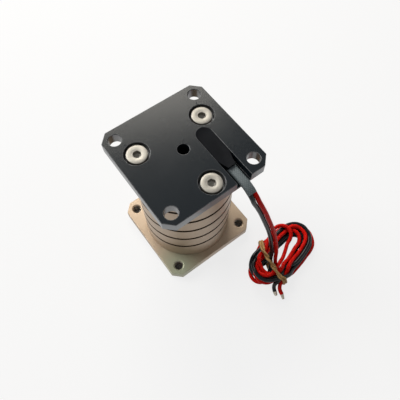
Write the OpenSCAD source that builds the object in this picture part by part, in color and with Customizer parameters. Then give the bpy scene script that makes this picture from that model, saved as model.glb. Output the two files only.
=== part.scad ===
// Voice coil motor guided by its own machined spring.
// A square coil plate sits on a helically slit tube, and the tube stands on a square flange.
// The magnet circuit is fixed to the flange, and the coil hangs from the plate into its gap.
// Frame: origin under the middle of the flange, +Z up, +X towards the side where the leads come out.

/* [Coil plate] */
// Side of the square plate
plate_size = 40; // [39:0.5:50]
// Thickness of the plate
plate_t = 4; // [3.6:0.1:6]
// Leg of the cut-off corners of the plate
plate_chamfer = 3.1; // [0.5:0.1:4]
// Diameter of the four through holes in the corners
corner_hole_d = 4.5; // [3.2:0.1:5]
// Diameter of the hole in the middle
centre_hole_d = 4; // [2:0.1:6]
// Height of the spigot under the plate that carries the coil former
spigot_h = 3; // [1.5:0.1:6]

/* [Hole pattern] */
// Spacing of the corner holes, the same on the plate and on the flange
hole_pitch = 31.5; // [30.5:0.1:33]

/* [Lead slot] */
// Width of the slot that the leads lie in
slot_w = 5.7; // [4.5:0.1:7]
// Depth of the slot
slot_depth = 3; // [2.6:0.1:3.2]
// Place of the middle of the slot's round end, along X
slot_end_x = -0.5; // [-3:0.1:2]
// Diameter of the hole through the floor of the slot
lead_hole_d = 3.2; // [2.4:0.1:4.5]
// Place where the potting stops, along X
potting_end_x = 13.8; // [8:0.1:17]
// How far the potting lies below the face of the plate
potting_recess = 0.1; // [0:0.05:0.4]

/* [Low-head screws] */
// Nominal diameter of the screws that hold the plate and the flange to the spring
screw_d = 4; // [3:0.1:4.2]
// Diameter of the screw heads
screw_head_d = 7; // [5.5:0.1:7.6]
// Height of the screw heads
screw_head_h = 2.8; // [2:0.1:2.9]
// Length of the screws under the head
screw_len = 6; // [5:0.5:7]
// Size of the hexagon socket, across its flats
socket_af = 2.5; // [2:0.1:3]
// Depth of the hexagon socket
socket_depth = 1.6; // [1:0.1:2]
// Diameter of the counterbores for the heads
counterbore_d = 8.5; // [7.8:0.1:9]
// Depth of the counterbores for the heads
counterbore_depth = 3.1; // [2.9:0.1:3.4]

/* [Machined spring] */
// Outer diameter of the tube
spring_d = 35; // [33:0.5:37]
// Thickness of the tube's wall at its ends
spring_wall = 5.5; // [5:0.1:6]
// Thickness of the tube's wall behind the slit, where it is bored out to make the spring softer
spring_thin_wall = 3; // [2.6:0.1:4]
// Height of the thick ends of the tube, which take the screws
spring_end_h = 6.1; // [6.1:0.1:6.2]
// Height of the tube
spring_h = 48.5; // [46:0.5:70]
// Rise of the helical slit in one turn
slit_pitch = 7.9; // [6:0.1:12]
// Width of the slit
slit_w = 1.2; // [0.6:0.1:1.6]
// Distance from the tube's upper end to the slit's upper end
slit_top_land = 6.5; // [5:0.1:9]
// Least distance from the tube's lower end to the slit's lower end
slit_bottom_land = 6.9; // [5:0.1:12]
// Direction of the slit's upper end, seen from above
slit_top_angle = -20; // [-60:1:-10]

/* [Flange] */
// Side of the square flange
flange_size = 40; // [39:0.5:50]
// Thickness of the flange
flange_t = 4; // [3.6:0.1:6]
// Leg of the cut-off corners of the flange
flange_chamfer = 3.3; // [0.5:0.1:4]
// Diameter of the four corner holes, drilled for tapping
flange_hole_d = 3.3; // [2.5:0.1:4.2]
// Diameter of those holes at the upper face, where they are countersunk
flange_hole_mouth_d = 4.3; // [4.3:0.1:5]

/* [Magnet circuit] */
// Gap between the yoke and the bore of the spring
yoke_clearance = 0.3; // [0.2:0.05:0.8]
// Thickness of the yoke's wall
yoke_wall = 2.2; // [1.2:0.1:2.8]
// Thickness of the yoke's floor
yoke_floor = 5; // [4.5:0.1:10]
// Height of the magnet
magnet_h = 20; // [14:0.5:24]
// How much smaller the magnet's radius is than the pole piece's
magnet_step = 0.4; // [0.1:0.05:1]
// Height of the pole piece
pole_h = 9; // [6:0.1:10]
// Nominal diameter of the countersunk screws that hold the yoke
yoke_screw_d = 3; // [2:0.1:3]
// Head diameter of those screws
yoke_screw_head_d = 5.6; // [4:0.1:6]
// Length of those screws, with the head
yoke_screw_len = 7; // [6:0.1:8]
// Circle on which they sit
yoke_screw_circle_d = 12; // [10:0.1:13]

/* [Coil] */
// Gap between the coil and the yoke, and between the former and the pole piece
air_gap = 0.3; // [0.2:0.05:0.6]
// Thickness of the tape over the winding
wrap_t = 0.1; // [0.05:0.05:0.2]
// Thickness of the winding
winding_t = 0.7; // [0.6:0.05:1.2]
// Length of the winding
winding_h = 14; // [10:0.5:18]
// Wall of the coil former
former_wall = 0.9; // [0.6:0.1:1.2]
// Thickness of the former's two lips
lip_t = 1; // [0.5:0.1:2]
// Diameter of the winding's two ends that run up to the slot
tail_d = 0.5; // [0.3:0.05:0.55]
// Spacing of those two ends
tail_spacing = 1.2; // [1:0.1:1.4]

/* [Leads] */
// Outer diameter of each lead
lead_d = 1.6; // [1.2:0.1:1.6]
// Width of the sleeve over the two leads
sleeve_w = 3.3; // [3.3:0.1:4]
// Height of the sleeve
sleeve_h = 2; // [1.7:0.1:2.4]
// How far the sleeve reaches into the potting
sleeve_grip = 3.5; // [2:0.1:6]
// Place where the sleeve starts to bend down, along X
sleeve_bend_x = 19.5; // [18:0.1:24]
// Radius of the sleeve's bend
sleeve_bend_r = 8; // [5:0.1:14]
// Angle of the sleeve's bend
sleeve_bend_angle = 34; // [10:1:50]

/* [Clearances] */
// Gap around a screw in its thread
thread_clearance = 0.05; // [0.02:0.01:0.1]
// Gap around a screw in its through hole
hole_clearance = 0.25; // [0.1:0.05:0.4]
// Gap between the former and the spigot
spigot_clearance = 0.02; // [0.01:0.01:0.05]
// Extra depth of a blind hole past the screw's tip
tip_clearance = 0.5; // [0.2:0.1:1]
// Gap around the winding's ends in the lip of the former
tail_clearance = 0.1; // [0.05:0.05:0.2]

/* [Hidden] */
$fn = 64;

// How far a cutting tool runs past the face that it cuts
over = 1;
// How far two solids of one piece run into each other where they join
weld = 0.05;
screw_angles = [0, 120, 240];
yoke_screw_angles = [60, 180, 300];

// Heights
spring_bottom = flange_t;
plate_bottom = spring_bottom + spring_h;
plate_top = plate_bottom + plate_t;
slot_floor = plate_top - slot_depth;
yoke_floor_top = flange_t + yoke_floor;
magnet_top = yoke_floor_top + magnet_h;
pole_top = magnet_top + pole_h;
winding_bottom = magnet_top + pole_h / 2 - winding_h / 2;
winding_top = winding_bottom + winding_h;

// Radii, from the outside of the spring to the magnet
spring_r = spring_d / 2;
bore_r = spring_r - spring_wall;
yoke_r = bore_r - yoke_clearance;
yoke_bore_r = yoke_r - yoke_wall;
wrap_r = yoke_bore_r - air_gap;
winding_r = wrap_r - wrap_t;
former_r = winding_r - winding_t;
former_bore_r = former_r - former_wall;
pole_r = former_bore_r - air_gap;
magnet_r = pole_r - magnet_step;
screw_circle_r = (spring_r + bore_r) / 2;
// The slot runs over the middle of the winding, so that the winding's ends rise straight into it
lead_y = (winding_r + former_r) / 2;
sleeve_z = slot_floor + sleeve_h / 2;
sleeve_start_x = potting_end_x - sleeve_grip;
yoke_tap_depth = yoke_screw_len - flange_t + tip_clearance;

// Helical slit, right-handed, going down from its upper end in equal steps
slit_lines_per_turn = 60;
slit_drop = slit_pitch / slit_lines_per_turn;
slit_top = plate_bottom - slit_top_land;
slit_steps = floor((slit_top - spring_bottom - slit_bottom_land) / slit_drop);

// Leads: points along each one, from the sleeve down to the bundle, under the band and into it
red_route = [
    [24.25, 9.58, 52.95], [25.36, 9.79, 51.75], [26.42, 10.26, 49.51], [27.44, 10.96, 47.01],
    [28.25, 11.66, 44.51], [29.05, 12.36, 42.01], [29.95, 13.06, 39.01], [30.85, 13.76, 36.01],
    [31.65, 14.46, 33.01], [32.45, 15.16, 29.91], [33.15, 15.76, 26.71], [33.95, 16.26, 23.31],
    [34.75, 16.66, 19.81], [35.5, 17, 16.3], [36.4, 17.1, 12.8], [37.2, 17, 9.4],
    [38, 16.7, 6.8], [38.81, 15.61, 5.1], [39.72, 13.83, 4.9], [40.01, 11.03, 4.9]
];
black_route = [
    [24.25, 7.92, 52.95], [25.19, 8.11, 51.7], [25.88, 8.64, 49.29], [26.46, 9.54, 46.79],
    [27.15, 10.34, 44.29], [27.95, 11.04, 41.79], [28.85, 11.74, 38.79], [29.75, 12.44, 35.79],
    [30.55, 13.14, 32.79], [31.35, 13.84, 29.69], [32.05, 14.44, 26.49], [32.85, 14.94, 23.09],
    [33.65, 15.34, 19.59], [34.5, 15.6, 16.1], [35.4, 15.7, 12.6], [36.2, 15.5, 9.2],
    [36.9, 15.1, 6.7], [37.59, 14.39, 5], [38.11, 12.63, 4.9], [38.28, 9.92, 4.9]
];
lead_sides = 8;
// Bundle of wound leads that lies on the surface the motor stands on.
// Its outline and its hole are drawn tight around circles, each given by its middle and its radius,
// with the bundle's length along the first axis.
bundle_centre = [36, 21.7];
bundle_turn = 10;
bundle_outline = [[[-10.8, 0], 5.3], [[-2, -2.6], 6.6], [[6.2, -0.5], 9.5]];
bundle_hole = [[[-7.4, -1.2], 2.6], [[5.8, -0.2], 3.2]];
bundle_bottom = 1;
bundle_top = 7;
// Rubber band around the bundle
band_centre = [36.45, 13.87];
band_turn = -20.5;
band_length = 15.2;
band_w = 1.2;
band_t = 1;
// Tinned ends of the leads
red_tip_ends = [[42.2, 13.4, 2.4], [51.4, 10.4, 0.7]];
red_tip_d = 1.1;
black_tip_ends = [[42, 9.4, 2], [48.6, 9, 0.8]];
black_tip_d = 0.8;

// Square outline with its corners cut off
module cut_corner_square(size, chamfer) {
    half = size / 2;
    inner = half - chamfer;
    polygon([
        [half, -inner], [half, inner], [inner, half], [-inner, half],
        [-half, inner], [-half, -inner], [-inner, -half], [inner, -half]
    ]);
}

// Outline with straight sides and round ends, long along X
module stadium(length, width) {
    straight = length - width;
    square([straight, width], center = true);
    for (side = [-1, 1]) translate([side * straight / 2, 0]) circle(d = width);
}

// Outline drawn tight around circles, each given by its middle and its radius
module tight_around(circles) {
    hull() for (c = circles) translate(c[0]) circle(r = c[1]);
}

// What is below, at each corner of the hole pattern
module at_corners() {
    for (x = [-1, 1], y = [-1, 1]) translate([x * hole_pitch / 2, y * hole_pitch / 2, 0]) children();
}

// What is below, on a circle at each of the angles
module on_circle(radius, angles) {
    for (angle = angles) rotate(angle) translate([radius, 0, 0]) children();
}

// Low-head socket screw, its head resting on z = 0 and its thread running down
module low_head_screw() {
    difference() {
        union() {
            cylinder(d = screw_head_d, h = screw_head_h);
            translate([0, 0, -screw_len]) cylinder(d = screw_d, h = screw_len);
        }
        translate([0, 0, screw_head_h]) hex_socket();
    }
}

// Hexagon socket that reaches one depth to each side of z = 0
module hex_socket() {
    cylinder(d = socket_af / cos(30), h = 2 * socket_depth, center = true, $fn = 6);
}

// Counterbored through hole for a low-head screw, its face at z = 0 and the metal below
module counterbored_hole(thickness) {
    translate([0, 0, -counterbore_depth]) cylinder(d = counterbore_d, h = counterbore_depth + over);
    translate([0, 0, -thickness - over]) cylinder(d = screw_d + 2 * hole_clearance, h = thickness + 2 * over);
}

// Tube through a list of points, with flat ends
module cord(points, diameter) {
    last = len(points) - 1;
    rings = [for (i = [0:last])
        let (
            along = points[min(i + 1, last)] - points[max(i - 1, 0)],
            side = unit(cross(along, [0, 1, 0])),
            up = unit(cross(side, along))
        )
        [for (k = [0:lead_sides - 1])
            let (angle = 360 * k / lead_sides)
            points[i] + diameter / 2 * (cos(angle) * side + sin(angle) * up)]];
    skin = [for (i = [0:last - 1], k = [0:lead_sides - 1])
        let (next = (k + 1) % lead_sides)
        [i * lead_sides + k, i * lead_sides + next, (i + 1) * lead_sides + next, (i + 1) * lead_sides + k]];
    first_cap = [for (k = [lead_sides - 1:-1:0]) k];
    last_cap = [for (k = [0:lead_sides - 1]) last * lead_sides + k];
    polyhedron([for (ring = rings, point = ring) point], concat(skin, [first_cap, last_cap]));
}

// Vector of length 1 in the same direction
function unit(v) = v / norm(v);

// Straight round bar between two points
module bar(ends, diameter) {
    run = ends[1] - ends[0];
    translate(ends[0])
        rotate([0, acos(run.z / norm(run)), atan2(run.y, run.x)])
            cylinder(d = diameter, h = norm(run));
}

// Square flange that the motor stands on, with holes for the spring's and the yoke's screws
module base_flange() {
    mouth_depth = (flange_hole_mouth_d - flange_hole_d) / 2;
    color("tan") difference() {
        linear_extrude(flange_t) cut_corner_square(flange_size, flange_chamfer);
        at_corners() {
            translate([0, 0, -over]) cylinder(d = flange_hole_d, h = flange_t + 2 * over);
            translate([0, 0, flange_t - mouth_depth])
                cylinder(d1 = flange_hole_d, d2 = flange_hole_mouth_d + 2 * over, h = mouth_depth + over);
        }
        on_circle(screw_circle_r, screw_angles) rotate([180, 0, 0]) counterbored_hole(flange_t);
        on_circle(yoke_screw_circle_d / 2, yoke_screw_angles) countersunk_hole();
    }
}

// Countersunk through hole for one of the yoke's screws, its face at z = 0
module countersunk_hole() {
    translate([0, 0, -over]) cylinder(d = yoke_screw_d + 2 * hole_clearance, h = flange_t + 2 * over);
    countersink(hole_clearance);
}

// Cone of a countersunk head with its flat face at z = 0, widened by a gap
module countersink(gap) {
    head_r = yoke_screw_head_d / 2 + gap;
    shank_r = yoke_screw_d / 2 + gap;
    cylinder(r1 = head_r, r2 = shank_r, h = head_r - shank_r);
}

// Three low-head screws from below, through the flange into the spring
module base_screws() {
    color("silver") on_circle(screw_circle_r, screw_angles)
        translate([0, 0, counterbore_depth]) rotate([180, 0, 0]) low_head_screw();
}

// Soft-iron cup that closes the magnetic circuit
module yoke_cup() {
    color("lightsteelblue") difference() {
        translate([0, 0, flange_t]) cylinder(r = yoke_r, h = pole_top - flange_t);
        translate([0, 0, yoke_floor_top]) cylinder(r = yoke_bore_r, h = pole_top);
        on_circle(yoke_screw_circle_d / 2, yoke_screw_angles)
            translate([0, 0, flange_t - over])
                cylinder(d = yoke_screw_d + 2 * thread_clearance, h = yoke_tap_depth + over);
    }
}

// Three countersunk screws from below, through the flange into the yoke
module yoke_screws() {
    color("silver") on_circle(yoke_screw_circle_d / 2, yoke_screw_angles) {
        difference() {
            translate([0, 0, hole_clearance]) union() {
                countersink(0);
                cylinder(d = yoke_screw_d, h = yoke_screw_len - hole_clearance);
            }
            hex_socket();
        }
    }
}

// Permanent magnet, standing on the yoke's floor
module magnet() {
    color("gainsboro") translate([0, 0, yoke_floor_top]) cylinder(r = magnet_r, h = magnet_h);
}

// Soft-iron disc on the magnet, which faces the coil
module pole_piece() {
    color("lightsteelblue") translate([0, 0, magnet_top]) cylinder(r = pole_r, h = pole_h);
}

// Tube with a helical slit through its wall, as one closed surface.
// Upright lines divide the tube's wall into columns. Each line has a point at the tube's top, then
// a pair of points at the upper and lower edge of each crossing of the slit, and one at the bottom.
module slit_tube() {
    lines = slit_lines_per_turn;
    full_turns = floor(slit_steps / lines);
    end_line = slit_steps % lines;
    crossings = [for (line = [0:lines - 1]) full_turns + (line <= end_line ? 1 : 0)];
    function start(line) = line * (2 + 2 * full_turns) + 2 * min(line, end_line + 1);
    function height(line, place) =
        place == 0 ? plate_bottom
        : place == 1 + 2 * crossings[line] ? spring_bottom
        : slit_top - (line + lines * floor((place - 1) / 2)) * slit_drop
            + (place % 2 == 1 ? 1 : -1) * slit_w / 2;
    total = start(lines);
    function outer(line, place) = start(line) + place;
    function inner(line, place) = total + start(line) + place;
    function bottom(line) = 1 + 2 * crossings[line];
    points = [for (radius = [spring_r, bore_r], line = [0:lines - 1], place = [0:bottom(line)])
        let (angle = slit_top_angle - line * 360 / lines)
        [radius * cos(angle), radius * sin(angle), height(line, place)]];
    // Two triangles that fill a ring of four points
    function halves(ring) = [[ring[0], ring[1], ring[2]], [ring[0], ring[2], ring[3]]];
    // Floor or roof of the wall between two lines: facing up below the slit, facing down above it
    function facing_up(line, place, next, next_place) =
        halves([outer(line, place), outer(next, next_place), inner(next, next_place), inner(line, place)]);
    function facing_down(line, place, next, next_place) =
        halves([outer(next, next_place), outer(line, place), inner(line, place), inner(next, next_place)]);
    // Triangles between a run of points down one line and a run down the next
    function skin(run, next_run) = concat(
        [for (p = [0:len(run) - 2]) [run[p], run[p + 1], next_run[len(next_run) - 1]]],
        [for (p = [0:len(next_run) - 2]) [run[0], next_run[p + 1], next_run[p]]]);
    faces = [for (line = [0:lines - 1])
        let (
            next = (line + 1) % lines,
            shift = line == lines - 1 ? 1 : 0,
            slits = floor((slit_steps - 1 - line) / lines) + 1
        )
        for (band = [0:slits])
            let (
                top = 2 * band,
                next_top = band == 0 ? 0 : 2 * (band + shift),
                low = band < slits ? 2 * band + 1 : bottom(line),
                next_low = band < slits ? 2 * (band + shift) + 1 : bottom(next)
            )
            each concat(
                skin([for (p = [top:low]) outer(line, p)], [for (p = [next_top:next_low]) outer(next, p)]),
                skin([for (p = [next_top:next_low]) inner(next, p)], [for (p = [top:low]) inner(line, p)]),
                facing_up(line, top, next, next_top),
                facing_down(line, low, next, next_low)
            )];
    first_end = halves([outer(0, 1), outer(0, 2), inner(0, 2), inner(0, 1)]);
    last_place = 2 * full_turns + 1;
    last_end = halves([
        outer(end_line, last_place + 1), outer(end_line, last_place),
        inner(end_line, last_place), inner(end_line, last_place + 1)
    ]);
    polyhedron(points, concat(faces, first_end, last_end));
}

// Tube cut by a helical slit, which guides the coil plate and returns it to the middle.
// Its wall is bored out behind the slit.
module machined_spring() {
    thread_depth = screw_len - (plate_t - counterbore_depth) + tip_clearance;
    base_thread_depth = screw_len - (flange_t - counterbore_depth) + tip_clearance;
    hole_d = screw_d + 2 * thread_clearance;
    color("tan") difference() {
        slit_tube();
        translate([0, 0, spring_bottom + spring_end_h])
            cylinder(r = spring_r - spring_thin_wall, h = spring_h - 2 * spring_end_h);
        on_circle(screw_circle_r, screw_angles) {
            translate([0, 0, plate_bottom - thread_depth]) cylinder(d = hole_d, h = thread_depth + over);
            translate([0, 0, spring_bottom - over]) cylinder(d = hole_d, h = base_thread_depth + over);
        }
    }
}

// Slot for the leads, as a cutting tool: a round end, open at the +X edge
module slot_outline(end_x) {
    translate([slot_end_x, lead_y]) circle(d = slot_w);
    translate([slot_end_x, lead_y - slot_w / 2]) square([end_x - slot_end_x, slot_w]);
}

// Black plate that carries the coil
module coil_plate() {
    color("#2d3236") difference() {
        union() {
            translate([0, 0, plate_bottom])
                linear_extrude(plate_t) cut_corner_square(plate_size, plate_chamfer);
            translate([0, 0, plate_bottom - spigot_h])
                cylinder(r = former_bore_r - spigot_clearance, h = spigot_h + over);
        }
        at_corners() translate([0, 0, plate_bottom - over])
            cylinder(d = corner_hole_d, h = plate_t + 2 * over);
        translate([0, 0, plate_bottom - spigot_h - over])
            cylinder(d = centre_hole_d, h = spigot_h + plate_t + 2 * over);
        on_circle(screw_circle_r, screw_angles)
            translate([0, 0, plate_top]) counterbored_hole(plate_t);
        translate([0, 0, slot_floor]) linear_extrude(slot_depth + over) slot_outline(plate_size / 2 + over);
        translate([slot_end_x, lead_y, plate_bottom - over]) cylinder(d = lead_hole_d, h = plate_t);
    }
}

// Three low-head screws from above, through the plate into the spring
module plate_screws() {
    color("silver") on_circle(screw_circle_r, screw_angles)
        translate([0, 0, plate_top - counterbore_depth]) low_head_screw();
}

// Thin tube that the coil is wound on, with a lip at each end of the winding
module coil_former() {
    foot = winding_bottom - lip_t;
    color("dimgray") difference() {
        union() {
            translate([0, 0, foot]) cylinder(r = former_r, h = plate_bottom - foot);
            for (z = [foot, winding_top]) translate([0, 0, z]) cylinder(r = winding_r, h = lip_t);
        }
        translate([0, 0, foot - over]) cylinder(r = former_bore_r, h = plate_bottom - foot + 2 * over);
        at_tails() translate([0, 0, winding_top - over])
            cylinder(d = tail_d + 2 * tail_clearance, h = lip_t + 2 * over);
    }
}

// Copper winding
module coil_winding() {
    color("chocolate") translate([0, 0, winding_bottom]) difference() {
        cylinder(r = winding_r, h = winding_h);
        translate([0, 0, -over]) cylinder(r = former_r, h = winding_h + 2 * over);
    }
}

// Tape over the winding
module winding_wrap() {
    color("goldenrod") translate([0, 0, winding_bottom]) difference() {
        cylinder(r = wrap_r, h = winding_h);
        translate([0, 0, -over]) cylinder(r = winding_r, h = winding_h + 2 * over);
    }
}

// What is below, at each of the winding's two ends: $side is -1 for the far one and 1 for the near one
module at_tails() {
    for ($side = [-1, 1]) translate([slot_end_x + $side * tail_spacing / 2, lead_y, 0]) children();
}

// The winding's two ends: up along the former into the slot, then along it to the sleeve, one over the other
module coil_tails() {
    color("chocolate") at_tails() {
        run_z = sleeve_z - $side * tail_spacing / 2;
        run = sleeve_start_x - slot_end_x - $side * tail_spacing / 2;
        translate([0, 0, winding_top]) cylinder(d = tail_d, h = run_z - winding_top);
        translate([0, 0, run_z]) sphere(d = tail_d);
        translate([0, 0, run_z]) rotate([0, 90, 0]) cylinder(d = tail_d, h = run);
    }
}

// Black potting that fills the slot around the leads
module slot_potting() {
    color("#18191c") difference() {
        union() {
            translate([0, 0, slot_floor])
                linear_extrude(slot_depth - potting_recess) slot_outline(potting_end_x);
            translate([slot_end_x, lead_y, plate_bottom])
                cylinder(d = lead_hole_d, h = plate_t - slot_depth + weld);
        }
        lead_sleeve();
        coil_tails();
    }
}

// Grey sleeve over the two leads, lying on the slot's floor and bending down past the plate's edge
module lead_sleeve() {
    color("slategray") {
        translate([sleeve_start_x, lead_y, sleeve_z]) rotate([0, 90, 0])
            linear_extrude(sleeve_bend_x - sleeve_start_x + weld) sleeve_outline();
        translate([sleeve_bend_x, lead_y, sleeve_z - sleeve_bend_r]) rotate([90, 0, 0])
            rotate(90 - sleeve_bend_angle) rotate_extrude(angle = sleeve_bend_angle)
                translate([sleeve_bend_r, 0]) sleeve_outline();
    }
}

// Sleeve's cross-section, with its height along the first axis and its width along the second
module sleeve_outline() {
    rotate(90) stadium(sleeve_w, sleeve_h);
}

// Red lead, from the sleeve down to the bundle
module red_lead() {
    color("firebrick") cord(red_route, lead_d);
}

// Black lead, beside the red one
module black_lead() {
    color("#26272b") cord(black_route, lead_d);
}

// Leads wound into an oval bundle
module wire_bundle() {
    color("firebrick") translate([bundle_centre.x, bundle_centre.y, bundle_bottom])
        rotate(90 + bundle_turn) linear_extrude(bundle_top - bundle_bottom) difference() {
            tight_around(bundle_outline);
            tight_around(bundle_hole);
        }
}

// Rubber band around the bundle
module rubber_band() {
    height = bundle_top - bundle_bottom;
    color("burlywood") translate([band_centre.x, band_centre.y, bundle_bottom])
        rotate([90, 0, band_turn]) linear_extrude(band_w, center = true) difference() {
            translate([-band_length / 2 - band_t, -band_t])
                square([band_length + 2 * band_t, height + 2 * band_t]);
            translate([-band_length / 2, 0]) square([band_length, height]);
        }
}

// Tinned end of the red lead
module red_tip() {
    color("gray") bar(red_tip_ends, red_tip_d);
}

// Tinned end of the black lead
module black_tip() {
    color("gray") bar(black_tip_ends, black_tip_d);
}

base_flange();
base_screws();
yoke_cup();
yoke_screws();
magnet();
pole_piece();
machined_spring();
coil_plate();
plate_screws();
coil_former();
coil_winding();
winding_wrap();
coil_tails();
slot_potting();
lead_sleeve();
red_lead();
black_lead();
wire_bundle();
rubber_band();
red_tip();
black_tip();
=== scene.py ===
# %% [markdown]
# # A voice coil motor on a machined spring
#
# The motor is a black plate on a pale metal tube on a pale metal flange. The tube is cut by one long
# helical slit, which makes it a spring: the plate can rise and sink a little, and the spring brings it
# back. A coil hangs from the plate into a magnet inside the tube, and its two leads come out of a slot
# in the plate, fall to the floor and lie there in a bundle under a rubber band.
#
# The exact solids come packed as a frame. This lesson dresses them: pieces whose edges, bends or
# strands show get a finer mesh, and every surface gets a finish.

# %% Load the frame
import math

import bmesh
import bpy
import numpy as np
from mathutils import Matrix, Vector


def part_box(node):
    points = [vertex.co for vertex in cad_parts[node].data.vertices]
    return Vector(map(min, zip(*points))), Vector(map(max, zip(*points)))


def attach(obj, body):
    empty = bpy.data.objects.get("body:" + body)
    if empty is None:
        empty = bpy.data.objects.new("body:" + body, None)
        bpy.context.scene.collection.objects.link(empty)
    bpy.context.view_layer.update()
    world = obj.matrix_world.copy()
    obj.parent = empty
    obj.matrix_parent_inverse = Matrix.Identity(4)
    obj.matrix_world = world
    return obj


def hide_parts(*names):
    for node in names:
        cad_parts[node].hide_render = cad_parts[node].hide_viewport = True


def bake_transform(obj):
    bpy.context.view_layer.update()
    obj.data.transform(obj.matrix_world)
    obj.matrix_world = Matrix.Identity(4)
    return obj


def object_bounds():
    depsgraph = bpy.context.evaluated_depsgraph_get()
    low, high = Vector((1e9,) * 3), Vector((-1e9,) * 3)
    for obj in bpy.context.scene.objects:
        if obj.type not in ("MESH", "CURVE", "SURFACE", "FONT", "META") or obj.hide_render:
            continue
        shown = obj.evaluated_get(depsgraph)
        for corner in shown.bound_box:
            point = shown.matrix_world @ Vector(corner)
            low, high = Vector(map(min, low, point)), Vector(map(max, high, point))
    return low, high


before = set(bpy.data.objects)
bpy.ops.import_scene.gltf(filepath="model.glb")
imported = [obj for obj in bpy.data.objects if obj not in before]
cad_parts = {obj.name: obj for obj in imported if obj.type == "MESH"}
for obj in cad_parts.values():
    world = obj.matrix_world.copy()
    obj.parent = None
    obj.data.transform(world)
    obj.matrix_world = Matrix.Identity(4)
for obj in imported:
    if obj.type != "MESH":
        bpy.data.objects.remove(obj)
cad_low, cad_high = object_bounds()
MM = 0.001
cad_sides = [round(side / MM, 1) for side in cad_high - cad_low]
print("Solids:", len(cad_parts), "in a box of", cad_sides, "mm")

# %% [markdown]
# ## Camera
#
# The picture looks down steeply at the plate, with the lead side to the lower right. A camera is
# easier to adjust by where it stands and what it aims at than by angles, so it is set that way. The
# small roll is the tilt with which the picture was taken.

# %% Camera
CAMERA_PLACE = Vector((58.94, -38.06, 163.8)) * MM
CAMERA_AIM = Vector((6.46, 1.90, 28.0)) * MM
CAMERA_ROLL = math.radians(0.63)
CAMERA_LENS = 36.2

camera = bpy.data.objects.new("camera", bpy.data.cameras.new("camera"))
camera.data.lens = CAMERA_LENS
camera.data.sensor_width = 36
camera.data.clip_start = 0.01
facing = (CAMERA_AIM - CAMERA_PLACE).to_track_quat("-Z", "Y").to_matrix().to_4x4()
camera.matrix_world = Matrix.Translation(CAMERA_PLACE) @ facing @ Matrix.Rotation(CAMERA_ROLL, 4, "Z")
bpy.context.collection.objects.link(camera)
bpy.context.scene.camera = camera
bpy.context.scene.view_settings.view_transform = "Standard"
print("Camera:", CAMERA_LENS, "mm lens,", round((CAMERA_AIM - CAMERA_PLACE).length / MM), "mm away")

# %% [markdown]
# ## Nodes in few lines
#
# A finish is a small tree of shader nodes. A few helpers keep the trees readable: they add a node and
# set or link its inputs by name, start a material and hand back its Principled shader, and feed it.

# %% Node helpers
# Sockets of a Mix node that mixes colours
FIRST_COLOUR, SECOND_COLOUR, MIXED_COLOUR = 6, 7, 2


def feed(tree, value, socket):
    """Links a socket to another node's output, or sets it to a plain value."""
    if isinstance(value, bpy.types.NodeSocket):
        tree.links.new(value, socket)
    else:
        socket.default_value = value


def add_node(tree, kind, settings=None, **inputs):
    """Node of that kind, with settings on the node itself and inputs set or linked by name."""
    made = tree.nodes.new(kind)
    for name, value in (settings or {}).items():
        setattr(made, name, value)
    for name, value in inputs.items():
        feed(tree, value, next(s for s in made.inputs if s.name == name.replace("_", " ") and s.enabled))
    return made


def arithmetic(tree, operation, first, second=0.0):
    """Result of one step of arithmetic on two values."""
    made = add_node(tree, "ShaderNodeMath", {"operation": operation})
    feed(tree, first, made.inputs[0])
    feed(tree, second, made.inputs[1])
    return made.outputs[0]


def colour(red, green, blue):
    return (red, green, blue, 1.0)


def new_finish(name, roughness, metallic=0.0, specular=0.5):
    """A material, its node tree and its shader."""
    made = bpy.data.materials.new(name)
    made.use_nodes = True
    shader = made.node_tree.nodes["Principled BSDF"]
    shader.inputs["Roughness"].default_value = roughness
    shader.inputs["Metallic"].default_value = metallic
    shader.inputs["Specular IOR Level"].default_value = specular
    return made, made.node_tree, shader


def paint(tree, shader, tone, roughness=None):
    """Feeds the shader's colour, and its roughness where that changes over the surface."""
    tree.links.new(tone, shader.inputs["Base Color"])
    if roughness is not None:
        tree.links.new(roughness, shader.inputs["Roughness"])


def mix_colours(tree, share, first, second):
    """Colour that goes from first to second as share goes from 0 to 1."""
    mixed = add_node(tree, "ShaderNodeMix", {"data_type": "RGBA"}, Factor=share)
    feed(tree, first, mixed.inputs[FIRST_COLOUR])
    feed(tree, second, mixed.inputs[SECOND_COLOUR])
    return mixed.outputs[MIXED_COLOUR]


def between(tree, value, low, high):
    """Value from 0 to 1, stretched to run from low to high."""
    return add_node(tree, "ShaderNodeMapRange", Value=value, To_Min=low, To_Max=high).outputs["Result"]


def bump(tree, shader, height, depth):
    """Relief of that depth in metres on the shader's normal."""
    relief = add_node(tree, "ShaderNodeBump", Height=height, Distance=depth)
    tree.links.new(relief.outputs["Normal"], shader.inputs["Normal"])


def object_place(tree):
    return add_node(tree, "ShaderNodeTexCoord").outputs["Object"]


def height_up(tree):
    """Height of a point of the surface, in metres."""
    return add_node(tree, "ShaderNodeSeparateXYZ", Vector=object_place(tree)).outputs["Z"]


# %% [markdown]
# ## Effects that several finishes share
#
# No surface is one flat colour. Cast, moulded, blasted and handled surfaces are all a little uneven,
# so one group of nodes, *uneven*, gives a soft mask of large patches and one of fine grain, and each
# finish uses them at its own scale. Machined pieces carry fine parallel marks, and a second group,
# *tool marks*, turns a distance into such lines.

# %% Shared node groups
def start_group(name, inputs, outputs):
    group = bpy.data.node_groups.new(name, "ShaderNodeTree")
    for label, value in inputs.items():
        socket = group.interface.new_socket(label, in_out="INPUT", socket_type="NodeSocketFloat")
        socket.default_value = value
    for label in outputs:
        group.interface.new_socket(label, in_out="OUTPUT", socket_type="NodeSocketFloat")
    return group, group.nodes.new("NodeGroupInput"), group.nodes.new("NodeGroupOutput")


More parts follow.
